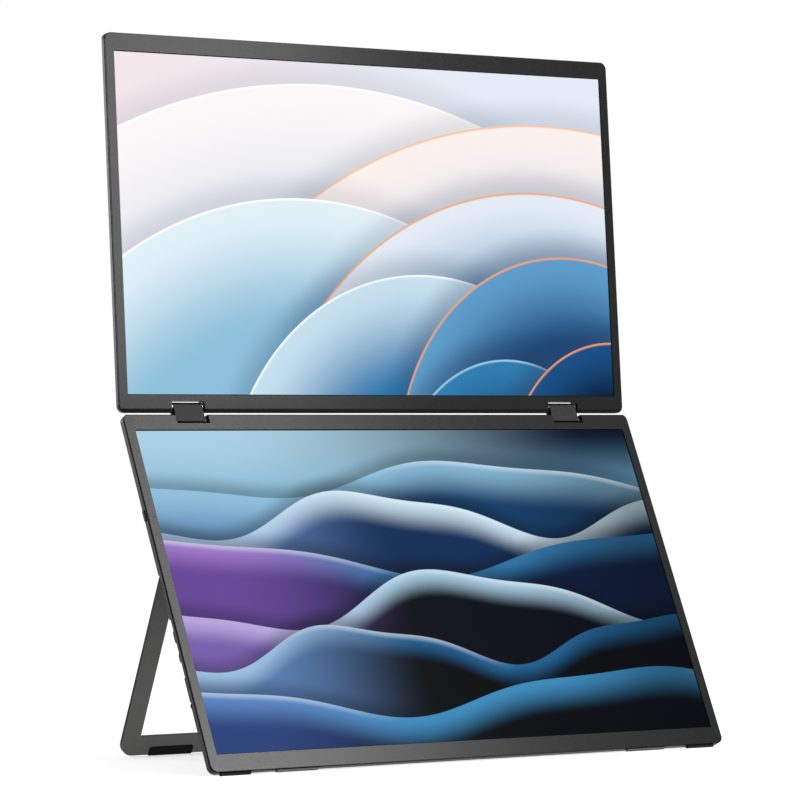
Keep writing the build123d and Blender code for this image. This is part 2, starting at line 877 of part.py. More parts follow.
def usb_socket(height):
    """The drawn steel shell of a USB-C socket, open at both ends."""
    end = socket_front + usb_length
    shell = usb_bar(usb_shell, socket_front, end, height)
    return shell - usb_bar(usb_opening, socket_front - 1, end + 1, height)


def hdmi_outline(size):
    """A rectangle with two corners cut off, as the mini-HDMI opening has."""
    half_depth, half_height = size[0] / 2, size[1] / 2
    cut = half_depth * 0.8
    return Polygon(
        (half_depth, -half_height), (half_depth, half_height), (-half_depth + cut, half_height),
        (-half_depth, half_height - cut), (-half_depth, -half_height + cut),
        (-half_depth + cut, -half_height), align=None,
    )


def hdmi_socket(height):
    """The folded steel shell of a mini-HDMI socket, open at both ends."""
    end = socket_front + hdmi_length
    shell = across(hdmi_outline(hdmi_shell), socket_front, end, socket_depth, height)
    return shell - across(hdmi_outline(hdmi_opening), socket_front - 1, end + 1, socket_depth, height)


def fitted(size):
    """The size of a section that slides into an opening."""
    return size[0] - 2 * socket_fit, size[1] - 2 * socket_fit


def socket_tongue(size, end, height):
    """The flat tongue that carries a socket's contacts."""
    depths = (socket_depth - size[0] / 2, socket_depth + size[0] / 2)
    return block(
        (socket_front + tongue_setback, end), depths, (height - size[1] / 2, height + size[1] / 2)
    )


def usb_insert(height):
    """The moulded insert that closes a USB-C shell's back and carries its tongue."""
    end = socket_front + usb_length
    seat = usb_bar(fitted(usb_opening), end - socket_seat, end, height)
    return seat + socket_tongue(usb_tongue, end, height)


def hdmi_insert(height):
    """The moulded insert that closes a mini-HDMI shell's back and carries its tongue."""
    end = socket_front + hdmi_length
    outline = hdmi_outline(fitted(hdmi_opening))
    seat = across(outline, end - socket_seat, end, socket_depth, height)
    return seat + socket_tongue(hdmi_tongue, end, height)


def audio_jack():
    """The 3.5 mm jack, whose metal collar shows in the edge."""
    mouth = left_face + jack_mouth
    collar_end = left_face + jack_ring_end
    body_end = mouth + jack_bore_length + jack_end_wall
    body = block(
        (collar_end, body_end), (tray_back + running_clearance, jack_depth + jack_body_back),
        (jack_height - jack_body_half, jack_height + jack_body_half),
    )
    collar = rod(jack_ring_radius, mouth, collar_end, jack_depth, jack_height)
    bore = rod(jack_bore, mouth - 1, mouth + jack_bore_length, jack_depth, jack_height)
    return body + collar - bore


def port_board():
    """The board that carries the sockets, between the left wall and the kickstand channel."""
    board = block(
        (port_board_outer, port_board_inner), (board_front, board_back), (port_board_bottom, port_board_top)
    )
    room_half = jack_body_half + board_gap
    jack_room = block(
        (port_board_outer - 1, left_face + port_board_jack_end), (board_front - 1, board_back + 1),
        (jack_height - room_half, jack_height + room_half),
    )
    return board - jack_room


main_board_back = lower.inner_back - board_thickness
main_board_front = main_board_back - board_thickness
main_board_left = -(kick_half - kick_leg_width) + main_board_leg_gap
main_board_right = main_board_left + main_board_width
main_board_low = bar_top + main_board_bar_gap
main_board_high = main_board_low + main_board_height


def main_board_posts():
    xs = (main_board_left + board_post_inset, main_board_right - board_post_inset)
    heights = (main_board_low + board_post_inset, main_board_high - board_post_inset)
    return [(x, height) for x in xs for height in heights]


def main_board():
    """The display controller board on four posts of the rear cover."""
    return block(
        (main_board_left, main_board_right), (main_board_front, main_board_back),
        (main_board_low, main_board_high),
    )


def main_board_chips():
    """The controller, memory and power parts, by their shares of the board's width and height."""
    chips = []
    shares = ((0.34, 0.61, 0.23), (0.68, 0.67, 0.14), (0.68, 0.39, 0.14), (0.23, 0.22, 0.1), (0.51, 0.17, 0.1))
    for right, up, share in shares:
        x = main_board_left + right * main_board_width
        height = main_board_low + up * main_board_height
        half = share * main_board_width / 2
        depths = (main_board_front - chip_thickness, main_board_front)
        chips.append(block((x - half, x + half), depths, (height - half, height + half)))
    return chips


def board_cable():
    """The flat cable from the port board to the main board, under the kickstand channel."""
    low = main_board_low + board_cable_rise
    high = low + board_cable_width
    depth = tray_back + board_cable_clearance
    x_port = port_board_inner - board_cable_overlap[0]
    x_main = main_board_left + board_cable_overlap[1]
    cable = block((x_port, x_main), (depth, depth + cable_thickness), (low, high))
    cable += block((x_port, x_port + cable_thickness), (depth, board_front), (low, high))
    cable += block((x_main - cable_thickness, x_main), (depth, main_board_front), (low, high))
    return cable


def lower_panel_cable():
    """The flat cable from the main board down to the panel's driver board."""
    x_range = (main_board_right - panel_cable_inset[0], main_board_right - panel_cable_inset[1])
    depth = tray_back + panel_cable_clearance
    depths = (depth, depth + cable_thickness)
    top = main_board_low + panel_cable_overlap
    bottom = above_channel + panel_cable_rise
    cable = block(x_range, depths, (bottom, top))
    cable += block(x_range, (depth, main_board_front), (top - cable_thickness, top))
    tail = (x_range[0], panel_cable_tail - panel_board_length / 2)
    cable += block(tail, depths, (bottom, bottom + panel_cable_width))
    return cable


def speaker(side):
    """A slim speaker with an oval diaphragm, above the bottom grille."""
    front = tray_back + inside_gap
    back = lower.inner_back - board_gap
    centre = above_channel + speaker_height / 2
    x = side * grille_offset
    body = plate(speaker_width, speaker_height, front, back, x, centre, speaker_corner)
    cone_width = speaker_width - 2 * speaker_rim
    cone_height = speaker_height - 1.25 * speaker_rim
    cone_corner = 0.48 * cone_height
    return body - plate(cone_width, cone_height, front, front + speaker_cone_depth, x, centre, cone_corner)


def edge_switch(side, length):
    """A tactile switch behind a side button, with a foot down to its board."""
    face = side * (-left_face - button_stem_end - button_travel - switch_gap)
    step = side * (panel_width / 2 + panel_gap)
    foot_x = side * (-left_face - switch_foot_start)
    end = side * (-left_face - switch_foot_end)
    heights = (button_height - length / 2, button_height + length / 2)
    half = button_width / 2
    switch = block((face, step), (button_depth - half, button_depth + half), heights)
    switch += block((step, end), (tray_back + inside_gap, button_depth + half), heights)
    switch += block((foot_x, end), (button_depth + half, board_front), heights)
    return switch


def power_button():
    """The pill-shaped power button, with a lug at each end behind the wall."""
    outer = left_face - button_proud
    inner = left_face + button_stem_end - button_stem_length
    cap = edge_window((button_width, power_button_length), outer, inner, button_depth, button_height)
    lug_half = power_button_length / 2 + button_lug_reach
    lug_x = left_face + side_wall + button_gap
    lug_front, lug_back = button_lug_depths
    cap += block(
        (lug_x, lug_x + button_lug_thickness), (button_depth - lug_front, button_depth + lug_back),
        (button_height - lug_half, button_height + lug_half),
    )
    stem_depth, stem_height = button_stem_half
    cap += block(
        (inner, left_face + button_stem_end), (button_depth - stem_depth, button_depth + stem_depth),
        (button_height - stem_height, button_height + stem_height),
    )
    return cap


def menu_rocker():
    """The rocker on the right edge, on a pin across its middle."""
    outer = -left_face + button_proud
    inner = -left_face - rocker_cap_end
    size = (button_width, menu_rocker_length)
    cap = edge_window(size, inner, outer, button_depth, button_height)
    half = button_width / 2
    cap += peg(rocker_hub_radius, button_depth - half, button_depth + half, rocker_pin_x, button_height)
    nub_depth, nub_height = rocker_nub_half
    for centre in (button_height - rocker_nub_offset, button_height + rocker_nub_offset):
        cap += block(
            (inner - rocker_nub_length, inner), (button_depth - nub_depth, button_depth + nub_depth),
            (centre - nub_height, centre + nub_height),
        )
    cap -= peg(rocker_pin_radius + running_clearance, 0, lower.depth, rocker_pin_x, button_height)
    return cap


def menu_rocker_pin():
    near, far = rocker_cheeks()
    return peg(rocker_pin_radius, near[0], far[1], rocker_pin_x, button_height)


def menu_board():
    """The small board behind the menu rocker, with its pair of switches in one body."""
    heights = (button_height - menu_board_drop, button_height + menu_board_rise)
    board = block((channel_side + menu_board_gap, -port_board_outer), (board_front, board_back), heights)
    return board + edge_switch(1, 2 * (rocker_nub_offset + rocker_nub_length + rocker_hub_radius))


# Places of the bodies, worked out from the leans and from what touches the table

lean = math.radians(lower_lean)
foot_back = foot_front + foot_depth
stand_height = foot_back * math.sin(lean) + foot_height * math.cos(lean) - foot_flat
lower_place = Pos(0, 0, stand_height) * Rot(X=-lower_lean)


def in_row(depth, height):
    """Where a point of the lower display lies, as depth and height above the table."""
    y = depth * math.cos(lean) + height * math.sin(lean)
    z = stand_height - depth * math.sin(lean) + height * math.cos(lean)
    return y, z


pivot_y, pivot_z = in_row(pivot_depth, pivot_height)
pad_reach = kick_length + kick_pad_drop
corner_reach = math.hypot(pad_reach, kick_thickness / 2)
corner_angle = math.atan2(kick_thickness / 2, pad_reach)
kick_lean = math.degrees(corner_angle + math.acos((pivot_z + kick_pad_flat) / corner_reach))
kick_opening = lower_lean + kick_lean
kick_place = lower_place * Pos(0, pivot_depth, pivot_height) * Rot(X=kick_opening)
kick_place = kick_place * Pos(0, -pivot_depth, -pivot_height)

lower_axis_y, lower_axis_z = in_row(lower.axis_depth, lower.axis_height)
upper_axis_y = lower_axis_y + link_length * math.sin(lean)
upper_axis_z = lower_axis_z + link_length * math.cos(lean)
links_place = Pos(0, lower_axis_y, lower_axis_z) * Rot(X=-lower_lean)
upper_place = Pos(0, upper_axis_y, upper_axis_z) * Rot(X=-upper_lean)
upper_place = upper_place * Pos(0, -upper.axis_depth, -upper.axis_height)

table_top = (Align.CENTER, Align.CENTER, Align.MAX)
table = Box(2 * case_width, 4 * case_height, case_height, align=table_top)


def on_table(place, solids):
    """Solids in place, cut flat where they would go below the table's top."""
    return [place * solid - table for solid in solids]


pieces = {}


def add(name, place, *solids):
    pieces[name] = [place * solid for solid in solids]


for name, display, place in (("lower", lower, lower_place), ("upper", upper, upper_place)):
    add(name + "_bezel", place, front_bezel(display))
    add(name + "_lcd_glass", place, lcd_glass())
    add(name + "_diffuser_sheets", place, diffuser_sheets())
    add(name + "_light_guide", place, light_guide())
    add(name + "_led_strip", place, led_strip())
    add(name + "_panel_tray", place, panel_tray())
    add(name + "_panel_board", place, panel_board(display))
    add(name + "_cover_screws", place, *cover_screws(display))
    add(name + "_hinge_leaf_left", place, hinge_leaf(display, -1))
    add(name + "_hinge_leaf_right", place, hinge_leaf(display, 1))
    add(name + "_hinge_pins", place, *both_sides(lambda side: hinge_pin(display, side)))

upper_shell, upper_cavity = cover_shell(upper)
upper_cover = upper_shell - upper_cavity
for cut in cover_cuts(upper):
    upper_cover -= cut
add("upper_rear_cover", upper_place, upper_cover)
add("lower_rear_cover", lower_place, lower_rear_cover())

add("usb_c_sockets", lower_place, *[usb_socket(height) for height in usb_heights])
add("mini_hdmi_sockets", lower_place, *[hdmi_socket(height) for height in hdmi_heights])
inserts = [usb_insert(height) for height in usb_heights] + [hdmi_insert(height) for height in hdmi_heights]
add("socket_inserts", lower_place, *inserts)
add("audio_jack", lower_place, audio_jack())
add("port_board", lower_place, port_board())
add("main_board", lower_place, main_board())
add("main_board_chips", lower_place, *main_board_chips())
add("board_cable", lower_place, board_cable())
add("lower_panel_cable", lower_place, lower_panel_cable())
add("speaker_left", lower_place, speaker(-1))
add("speaker_right", lower_place, speaker(1))
add("speaker_grilles", lower_place, *both_sides(speaker_grille))
add("vesa_inserts", lower_place, *[vesa_insert(x, height) for x, height in vesa_points()])
add("power_switch", lower_place, edge_switch(-1, switch_length))
add("menu_board", lower_place, menu_board())
add("menu_rocker_pin", lower_place, menu_rocker_pin())
add("power_button", lower_place, power_button())
add("menu_rocker", lower_place, menu_rocker())
add("kickstand_hinge_left", lower_place, kickstand_bracket(-1))
add("kickstand_hinge_right", lower_place, kickstand_bracket(1))
add("kickstand_pins", lower_place, *both_sides(kickstand_pin))
add("kickstand_screws", lower_place, *bracket_screws(-1), *bracket_screws(1))
pieces["lower_feet"] = on_table(lower_place, both_sides(foot))

add("hinge_block_left", links_place, link_block(-1))
add("hinge_block_right", links_place, link_block(1))
add("hinge_washers", links_place, *link_washers(-1), *link_washers(1))

add("kickstand_frame", kick_place, kickstand_frame())
pieces["kickstand_pads"] = on_table(kick_place, both_sides(kickstand_pad))

# Everything moves so that the origin is under the middle of the outline

boxes = [solid.bounding_box() for solids in pieces.values() for solid in solids]
front_y = min(box.min.Y for box in boxes)
rear_y = max(box.max.Y for box in boxes)
shift_y = -(front_y + rear_y) / 2

os.makedirs("parts", exist_ok=True)
for name, solids in pieces.items():
    moved = [Pos(0, shift_y, 0) * solid for solid in solids]
    export_step(Compound([body for shape in moved for body in shape.solids()]), f"parts/{name}.step")

# The joint axes and mounts, in metres in the finished frame

def row_point(label, y, z, x=0.0):
    print(label, [round(value / 1000, 5) for value in (x, y + shift_y, z)])


print("kickstand opening in degrees", round(kick_opening, 3))
row_point("lower hinge axis", lower_axis_y, lower_axis_z)
row_point("upper hinge axis", upper_axis_y, upper_axis_z)
row_point("kickstand pivot", pivot_y, pivot_z)
row_point("power button", *in_row(button_depth, button_height), x=left_face)
row_point("menu rocker pin", *in_row(button_depth, button_height), x=rocker_pin_x)
row_point("wall-mount centre", *in_row(lower.depth - 0.1, mid_height))
row_point("jack mouth", *in_row(jack_depth, jack_height), x=left_face + jack_mouth)
for height in usb_heights:
    row_point("USB-C mouth", *in_row(socket_depth, height), x=left_face + socket_mouth)
for height in hdmi_heights:
    row_point("mini-HDMI mouth", *in_row(socket_depth, height), x=left_face + socket_mouth)
for label, name in (("foot sole", "lower_feet"), ("pad sole", "kickstand_pads")):
    sole = pieces[name][0].faces().sort_by(Axis.Z)[0].center()
    row_point(label, sole.Y, sole.Z, x=sole.X)
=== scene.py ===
import math

import bmesh
import bpy
from mathutils import Matrix, Quaternion, Vector


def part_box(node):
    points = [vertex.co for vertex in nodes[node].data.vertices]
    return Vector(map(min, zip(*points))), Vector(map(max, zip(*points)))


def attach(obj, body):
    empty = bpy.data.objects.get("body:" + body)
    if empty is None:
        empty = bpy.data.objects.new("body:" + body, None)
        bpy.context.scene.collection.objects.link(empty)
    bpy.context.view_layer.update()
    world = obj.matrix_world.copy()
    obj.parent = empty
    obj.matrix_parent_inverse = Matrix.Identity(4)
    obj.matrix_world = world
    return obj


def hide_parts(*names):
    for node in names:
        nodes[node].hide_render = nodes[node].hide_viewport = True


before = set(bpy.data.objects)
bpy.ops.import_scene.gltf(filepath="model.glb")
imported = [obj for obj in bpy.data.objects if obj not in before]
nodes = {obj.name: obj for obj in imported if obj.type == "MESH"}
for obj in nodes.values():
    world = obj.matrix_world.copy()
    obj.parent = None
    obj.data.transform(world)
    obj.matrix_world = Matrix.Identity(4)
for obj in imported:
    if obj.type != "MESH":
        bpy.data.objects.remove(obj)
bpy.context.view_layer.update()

# LCD glass
# The front of each display is a liquid crystal cell: two sheets of glass between polarisers, the
# outer one etched matt against glare. It is lit from behind, and shows a plain generic wallpaper.
MM = 0.001
lit_width = 409.5
lit_height = 230.4
end_bezel = 12.5
glass_front = 0.8
glass_thickness = 1.0
glass_margin = 1.8
screen_middle = end_bezel + lit_height / 2
leans = {"lower": math.radians(25.7), "upper": math.radians(4.5)}


def display_place(display):
    """Where a display stands, from a flat one: X across, Y into its depth, Z up from its edge."""
    low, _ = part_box(display + "_lcd_glass")
    turn = Matrix.Rotation(-leans[display], 4, "X")
    sunk = glass_thickness * MM * math.sin(leans[display])
    corner = Vector((0.0, low.y, low.z + sunk))
    origin = corner - turn @ (Vector((0.0, glass_front, end_bezel - glass_margin)) * MM)
    return Matrix.Translation(origin) @ turn


places = {display: display_place(display) for display in leans}


def linear(hex_colour):
    """An sRGB hex colour as linear values."""
    values = [int(hex_colour[start:start + 2], 16) / 255 for start in (1, 3, 5)]
    curve = [value / 12.92 if value <= 0.04045 else ((value + 0.055) / 1.055) ** 2.4 for value in values]
    return curve + [1.0]


def add(tree, kind, inputs=None, out=0, **settings):
    """Adds a shader node with its settings and inputs, and gives one of its outputs."""
    node = tree.nodes.new("ShaderNode" + kind)
    for name, value in settings.items():
        setattr(node, name, value)
    for socket, value in (inputs or {}).items():
        if isinstance(value, bpy.types.NodeSocket):
            tree.links.new(value, node.inputs[socket])
        else:
            node.inputs[socket].default_value = value
    return node.outputs[out] if node.outputs else None


def new_finish(name, inputs):
    """A material, its node tree, its principled shader and its place on the object in metres."""
    material = bpy.data.materials.new(name)
    material.use_nodes = True
    tree = material.node_tree
    tree.nodes.clear()
    surface = add(tree, "BsdfPrincipled", inputs)
    add(tree, "OutputMaterial", {"Surface": surface})
    return material, tree, surface.node, add(tree, "TexCoord", out="Object")


def dress(material, *names):
    """Gives a finish to CAD nodes, on every material slot that they have."""
    for name in names:
        mesh = nodes[name].data
        if not mesh.materials:
            mesh.materials.append(material)
        for index in range(len(mesh.materials)):
            mesh.materials[index] = material


# With these, a texture mapping turns a place on a display into millimetres on the flat display
flat_inputs = {
    display: {
        "Location": places[display].to_translation(),
        "Rotation": (-leans[display], 0, 0),
        "Scale": (MM, MM, MM),
    }
    for display in leans
}
layered = {"out": 2, "data_type": "RGBA"}
soft = {"interpolation_type": "SMOOTHSTEP"}


def lit_panel(display, picture):
    """Matt black glass that reflects little, with the backlit picture inside its black border."""
    material, tree, shader, spot = new_finish(
        "etched anti-glare glass, " + display,
        {"Base Color": linear("#020203"), "Roughness": 0.3, "Specular IOR Level": 0.012,
         "Emission Strength": 1.0},
    )
    flat = add(tree, "Mapping", {"Vector": spot, **flat_inputs[display]}, vector_type="TEXTURE")
    split = add(tree, "SeparateXYZ", {"Vector": flat}).node
    across, height = split.outputs["X"], split.outputs["Z"]
    colour = picture(tree, across, height)
    aside = add(tree, "Math", {0: across}, operation="ABSOLUTE")
    middle = add(tree, "Math", {0: height, 1: screen_middle}, operation="SUBTRACT")
    above = add(tree, "Math", {0: middle}, operation="ABSOLUTE")
    wide = add(tree, "Math", {0: aside, 1: lit_width / 2}, operation="LESS_THAN")
    tall = add(tree, "Math", {0: above, 1: lit_height / 2}, operation="LESS_THAN")
    lit = add(tree, "Math", {0: wide, 1: tall}, operation="MULTIPLY")
    framed = add(tree, "Mix", {0: lit, 6: (0, 0, 0, 1), 7: colour}, **layered)
    tree.links.new(framed, shader.inputs["Emission Color"])
    return material


edge_softness = 0.3


def disc_picture(tree, across, height):
    """Large pale discs laid over each other, with peach rims and deep blue at the lower right."""
    spot = add(tree, "CombineXYZ", {"X": across, "Z": height})
    rise = add(tree, "MapRange", {"Value": height, "From Min": 60.0, "From Max": 200.0}, **soft)
    left = add(tree, "Mix", {0: rise, 6: linear("#9cc6dd"), 7: linear("#f1e6ea")}, **layered)
    right = add(tree, "Mix", {0: rise, 6: linear("#6fa3c8"), 7: linear("#e4ebf7")}, **layered)
    side = add(tree, "MapRange", {"Value": across, "From Min": -200.0, "From Max": 150.0}, **soft)
    colour = add(tree, "Mix", {0: side, 6: left, 7: right}, **layered)
    shadow_width = 24.0
    rim_width = 2.2
    # Centre, radius, width of the fade inside, colours of edge, inside and rim, depth of shadow
    discs = (
        ((-40, -170), 398, 130, "#fbf7f8", "#d5dcea", "#ffffff", 0.15),
        ((150, -165), 372, 110, "#fbf1ee", "#cfdcee", "#f6c7a6", 0.22),
        ((-60, -120), 268, 90, "#e2f1f8", "#8ec0db", "#ffffff", 0.20),
        ((140, -90), 248, 90, "#e4ecf6", "#5f97bf", "#f0ae84", 0.30),
        ((40, -75), 172, 80, "#c7e1f0", "#2b78ad", "#f4fbff", 0.32),
        ((165, -40), 152, 70, "#5d9dcb", "#0b3f74", "#efa274", 0.45),
        ((110, -60), 98, 60, "#2f7db3", "#052348", "#9ccbe6", 0.50),
        ((205, -45), 96, 50, "#174f86", "#020f24", "#e89a6c", 0.60),
    )
    for (x, z), radius, fade, edge, inner, rim, shade in discs:
        away = add(tree, "VectorMath", {0: spot, 1: (x, 0, z)}, out="Value", operation="DISTANCE")
        past = add(tree, "Math", {0: away, 1: radius}, operation="SUBTRACT")
        cast = add(
            tree, "MapRange",
            {"Value": past, "From Min": shadow_width, "From Max": 0.0, "To Max": shade}, **soft,
        )
        colour = add(tree, "Mix", {0: cast, 6: colour, 7: linear("#27466c")}, **layered)
        depth = add(tree, "MapRange", {"Value": past, "From Min": 0.0, "From Max": -fade}, **soft)
        face = add(tree, "Mix", {0: depth, 6: linear(edge), 7: linear(inner)}, **layered)
        glow = add(
            tree, "MapRange",
            {"Value": past, "From Min": -rim_width, "From Max": -0.3 * rim_width}, **soft,
        )
        face = add(tree, "Mix", {0: glow, 6: face, 7: linear(rim)}, **layered)
        inside = add(
            tree, "MapRange",
            {"Value": past, "From Min": edge_softness, "From Max": -edge_softness}, **soft,
        )
        colour = add(tree, "Mix", {0: inside, 6: colour, 7: face}, **layered)
    return colour


def wave_picture(tree, across, height):
    """Rolling waves in layers: pale at their crests, black in their troughs, purple at the left."""
    rise = add(tree, "MapRange", {"Value": height, "From Min": 170.0, "From Max": 243.0}, **soft)
    left = add(tree, "Mix", {0: rise, 6: linear("#7db4d2"), 7: linear("#a9cfe2")}, **layered)
    right = add(tree, "Mix", {0: rise, 6: linear("#6fa6c9"), 7: linear("#04102a")}, **layered)
    side = add(tree, "MapRange", {"Value": across, "From Min": -150.0, "From Max": 170.0}, **soft)
    colour = add(tree, "Mix", {0: side, 6: left, 7: right}, **layered)
    tint = add(
        tree, "MapRange",
        {"Value": across, "From Min": -20.0, "From Max": -170.0, "To Max": 0.9}, **soft,
    )
    night = add(
        tree, "MapRange",
        {"Value": across, "From Min": 60.0, "From Max": 200.0, "To Max": 0.6}, **soft,
    )
    shadow_width = 15.0
    shadow_depth = 0.45
    glow_width = 5.0
    ripple_rate = 2.3
    ripple_share = 0.25
    shine_rate = 0.7
    # Height, swing, length, phase, width of the fade, then crest and trough, plain and at the left
    waves = (
        (206, 13, 380, 0.6, 32, "#86b7d3", "#0f3d68", "#8fc0dc", "#6f9cc4"),
        (180, 17, 300, 2.3, 25, "#c9e0ed", "#0a2c56", "#a9c6e6", "#6487c0"),
        (150, 15, 420, 4.6, 24, "#2f73a5", "#061c40", "#a777cb", "#6a479c"),
        (117, 20, 330, 1.1, 21, "#a9cbe0", "#010513", "#b9a0dc", "#7d62b4"),
        (84, 15, 260, 3.4, 20, "#1f6293", "#000103", "#a3c4e4", "#5d86bd"),
        (47, 13, 370, 5.5, 26, "#3d8bbd", "#01030a", "#5f86c4", "#27437f"),
    )
    for level, swing, length, phase, fall, crest, trough, left_crest, left_trough in waves:
        turn = add(tree, "Math", {0: across, 1: 2 * math.pi / length, 2: phase}, operation="MULTIPLY_ADD")
        wave = add(tree, "Math", {0: turn}, operation="SINE")
        line = add(tree, "Math", {0: wave, 1: swing, 2: level}, operation="MULTIPLY_ADD")
        faster = add(tree, "Math", {0: turn, 1: ripple_rate}, operation="MULTIPLY")
        ripple = add(tree, "Math", {0: faster}, operation="SINE")
        line = add(tree, "Math", {0: ripple, 1: ripple_share * swing, 2: line}, operation="MULTIPLY_ADD")
        over = add(tree, "Math", {0: height, 1: line}, operation="SUBTRACT")
        cast = add(
            tree, "MapRange",
            {"Value": over, "From Min": shadow_width, "From Max": 0.0, "To Max": shadow_depth}, **soft,
        )
        colour = add(tree, "Mix", {0: cast, 6: colour, 7: linear("#01040c")}, **layered)
        depth = add(tree, "MapRange", {"Value": over, "From Min": 0.0, "From Max": -fall}, **soft)
        face = add(tree, "Mix", {0: depth, 6: linear(crest), 7: linear(trough)}, **layered)
        purple = add(tree, "Mix", {0: depth, 6: linear(left_crest), 7: linear(left_trough)}, **layered)
        face = add(tree, "Mix", {0: tint, 6: face, 7: purple}, **layered)
        face = add(tree, "Mix", {0: night, 6: face, 7: linear("#01050f")}, **layered)
        slower = add(tree, "Math", {0: turn, 1: shine_rate}, operation="MULTIPLY")
        sweep = add(tree, "Math", {0: slower}, operation="SINE")
        shine = add(
            tree, "MapRange",
            {"Value": sweep, "From Min": -0.2, "From Max": 0.9, "To Max": 0.4}, **soft,
        )
        glow = add(tree, "MapRange", {"Value": over, "From Min": -glow_width, "From Max": 0.0}, **soft)
        lit = add(tree, "Math", {0: glow, 1: shine}, operation="MULTIPLY")
        face = add(tree, "Mix", {0: lit, 6: face, 7: linear("#eaf6fc")}, **layered)
        inside = add(
            tree, "MapRange",
            {"Value": over, "From Min": edge_softness, "From Max": -edge_softness}, **soft,
        )
        colour = add(tree, "Mix", {0: inside, 6: colour, 7: face}, **layered)
    return colour


dress(lit_panel("upper", disc_picture), "upper_lcd_glass")
dress(lit_panel("lower", wave_picture), "lower_lcd_glass")


# Backlight and panel tray
# Behind each glass lie a stack of white polyester film and an acrylic light guide, lit from its
# lower edge by a strip of lamps on a white board. A pressed tray of zinc-coated steel holds them.
both = ("lower", "upper")


def colour_between(tree, shader, value, dark, light, low=0.35, high=0.65):
    """Colours the surface between two tones, by a pattern's value."""
    share = add(tree, "MapRange", {"Value": value, "From Min": low, "From Max": high}, **soft)
    colour = add(tree, "Mix", {0: share, 6: linear(dark), 7: linear(light)}, **layered)
    tree.links.new(colour, shader.inputs["Base Color"])


film_stretch = 0.05


def extruded_film():
    """Polyester film, extruded: milky white, with faint streaks along its length, 3 mm apart."""
    material, tree, shader, spot = new_finish("polyester film, extruded", {"Roughness": 0.6})
    drawn = add(tree, "Mapping", {"Vector": spot, "Scale": (film_stretch, 1, 1)})
    streaks = add(tree, "TexNoise", {"Vector": drawn, "Scale": 1 / (3 * MM)})
    colour_between(tree, shader, streaks, "#e9e9e6", "#f6f6f4")
    return material


def dotted_acrylic():
    """Cast acrylic, laser dotted on its back: clear, with pale dots 1.5 mm apart."""
    material, tree, shader, spot = new_finish(
        "acrylic, cast and dotted", {"Roughness": 0.08, "IOR": 1.49, "Transmission Weight": 0.8}
    )
    dots = add(tree, "TexVoronoi", {"Vector": spot, "Scale": 1 / (1.5 * MM)}, out="Distance")
    colour_between(tree, shader, dots, "#ffffff", "#e4eef2", 0.2, 0.5)
    return material


def lamp_strip():
    """A lacquered board with moulded lamps: white, with patches of their yellow phosphor."""
    material, tree, shader, spot = new_finish("lamp strip, white lacquer", {"Roughness": 0.4})
    patches = add(tree, "TexNoise", {"Vector": spot, "Scale": 1 / (4 * MM)})
    colour_between(tree, shader, patches, "#efe9c8", "#f4f2ea")
    return material


def zinc_steel():
    """Hot-dip zinc on pressed steel sheet: grey flakes of 6 mm, each with its own dull shine."""
    material, tree, shader, spot = new_finish("steel sheet, zinc coated", {"Metallic": 1.0})
    flakes = add(tree, "TexVoronoi", {"Vector": spot, "Scale": 1 / (6 * MM)}, out="Color")
    colour_between(tree, shader, flakes, "#9a9c9e", "#b4b6b8")
    dull = add(tree, "MapRange", {"Value": flakes, "To Min": 0.36, "To Max": 0.5})
    tree.links.new(dull, shader.inputs["Roughness"])
    return material


dress(extruded_film(), *[display + "_diffuser_sheets" for display in both])
dress(dotted_acrylic(), *[display + "_light_guide" for display in both])
dress(lamp_strip(), *[display + "_led_strip" for display in both])
dress(zinc_steel(), *[display + "_panel_tray" for display in both])


# Circuit boards, chips and flat cables
# The boards are glass fibre with a green solder mask over etched copper. Their chips are moulded
# in black epoxy, and the flat cables are copper strands between two amber films.
def solder_mask():
    """Solder mask over etched copper: glossy dark green, with paler tracks 2 mm apart."""
    material, tree, shader, spot = new_finish("glass fibre board, solder masked", {"Roughness": 0.35})
    # The pattern is 9 mm long, and its rows are 0.22 of that high
    tracks = add(
        tree, "TexBrick",
        {"Vector": spot, "Scale": 1 / (9 * MM), "Mortar Size": 0.035, "Brick Width": 0.9, "Row Height": 0.22},
        out="Fac",
    )
    colour_between(tree, shader, tracks, "#0e3a26", "#2a6b45", 0.0, 1.0)
    raised = add(tree, "Bump", {"Height": tracks, "Distance": 0.035 * MM})
    tree.links.new(raised, shader.inputs["Normal"])
    return material


def moulded_epoxy():
    """Moulded epoxy: matt black, with a faint grain of glass filler."""
    material, tree, shader, spot = new_finish("epoxy, moulded", {"Roughness": 0.55})
    # The filler is 0.05 mm across, too fine to show, so the grain is drawn at 0.4 mm
    grain = add(tree, "TexNoise", {"Vector": spot, "Scale": 1 / (0.4 * MM)})
    colour_between(tree, shader, grain, "#141415", "#1e1e20")
    rough = add(tree, "Bump", {"Height": grain, "Distance": 0.01 * MM})
    tree.links.new(rough, shader.inputs["Normal"])
    return material


def flat_cable_film():
    """Polyimide film over copper strands: amber, with darker stripes 1 mm apart."""
    material, tree, shader, spot = new_finish("polyimide film, laminated", {"Roughness": 0.3})
    # A wave texture draws its bands pi / 10 apart at a scale of one
    bands = math.pi / 10 / (1.0 * MM)
    strands = add(tree, "TexWave", {"Vector": spot, "Scale": bands}, out="Fac")
    colour_between(tree, shader, strands, "#7a4310", "#c98a34", 0.2, 0.8)
    return material


dress(solder_mask(), "main_board", "port_board", "menu_board", "lower_panel_board", "upper_panel_board")
dress(moulded_epoxy(), "main_board_chips")
dress(flat_cable_film(), "board_cable", "lower_panel_cable")


# Rear covers
# Moulded in a blend of ABS and polycarbonate, dark grey, in a mould whose walls were etched with
# sparks. The covers are screwed to the bezels, and their side walls carry the port windows.
flow_length = 60.0
flow_share = 0.3
gloss_spread = 0.03


